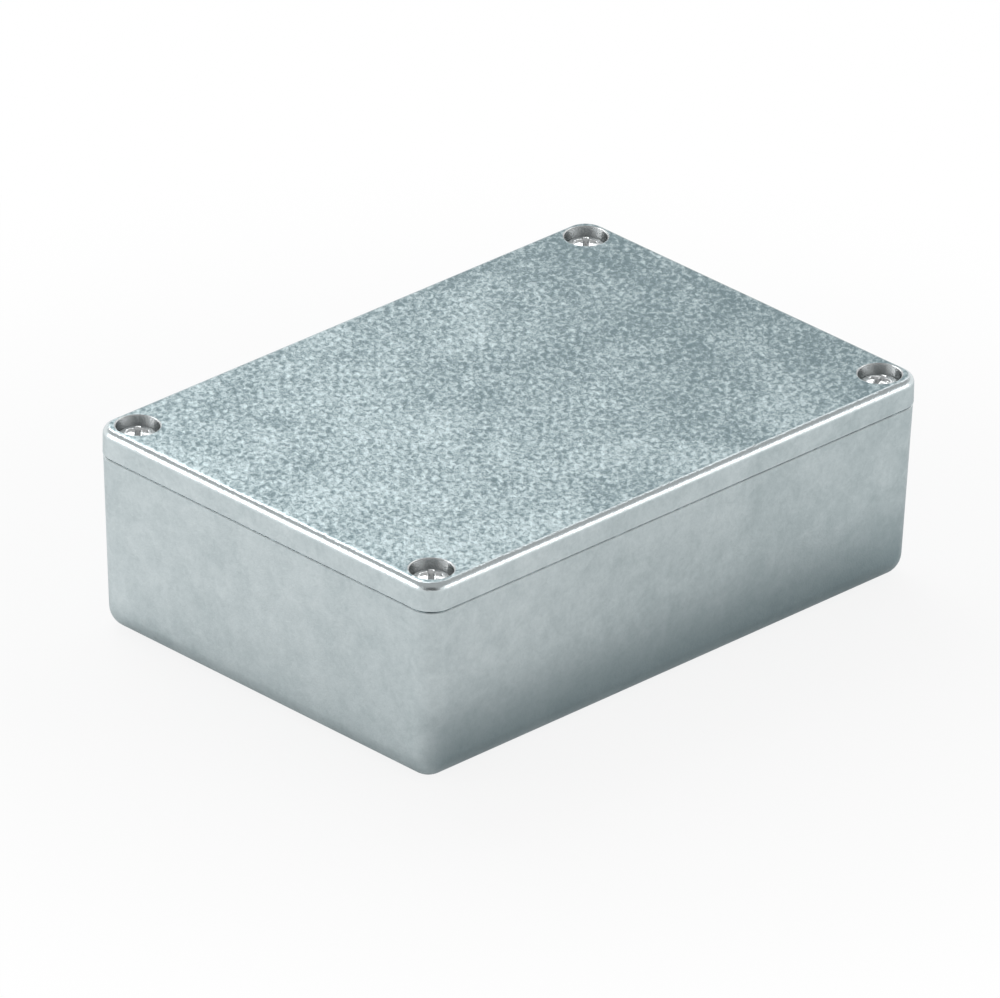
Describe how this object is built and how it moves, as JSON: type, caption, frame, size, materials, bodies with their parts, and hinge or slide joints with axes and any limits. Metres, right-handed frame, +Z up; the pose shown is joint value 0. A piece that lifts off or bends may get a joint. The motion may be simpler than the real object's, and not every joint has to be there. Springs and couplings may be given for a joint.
{
  "type": "die cast enclosure",
  "caption": "Small rectangular die cast aluminium case with drafted walls, a flush lid and recessed pan head screws in the corners.",
  "frame": {"origin": "middle of the case's underside", "axes": "+X along the length, +Y across the width to the back, +Z up through the lid"},
  "size_m": [0.08, 0.056, 0.026],
  "materials": {
    "base_casting": "bare die casting, tumbled, satin with cloudy flow marks",
    "lid_casting": "bare die casting, tumbled, finely mottled, bright edges",
    "plated_screw": "bright plated steel"
  },
  "bodies": {
    "base": {"base": "base_casting"},
    "lid": {"lid": "lid_casting"},
    "screw_front_left": {"screw_front_left": "plated_screw"},
    "screw_front_right": {"screw_front_right": "plated_screw"},
    "screw_back_left": {"screw_back_left": "plated_screw"},
    "screw_back_right": {"screw_back_right": "plated_screw"}
  },
  "joints": [
    {"name": "lid_lift", "type": "slide", "parent": "base", "child": "lid", "axis": [0, 0, 1], "range_m": [0, 0.03]},
    {"name": "screw_front_left_out", "type": "slide", "parent": "lid", "child": "screw_front_left", "axis": [0, 0, 1], "range_m": [0, 0.012]},
    {"name": "screw_front_right_out", "type": "slide", "parent": "lid", "child": "screw_front_right", "axis": [0, 0, 1], "range_m": [0, 0.012]},
    {"name": "screw_back_left_out", "type": "slide", "parent": "lid", "child": "screw_back_left", "axis": [0, 0, 1], "range_m": [0, 0.012]},
    {"name": "screw_back_right_out", "type": "slide", "parent": "lid", "child": "screw_back_right", "axis": [0, 0, 1], "range_m": [0, 0.012]}
  ]
}
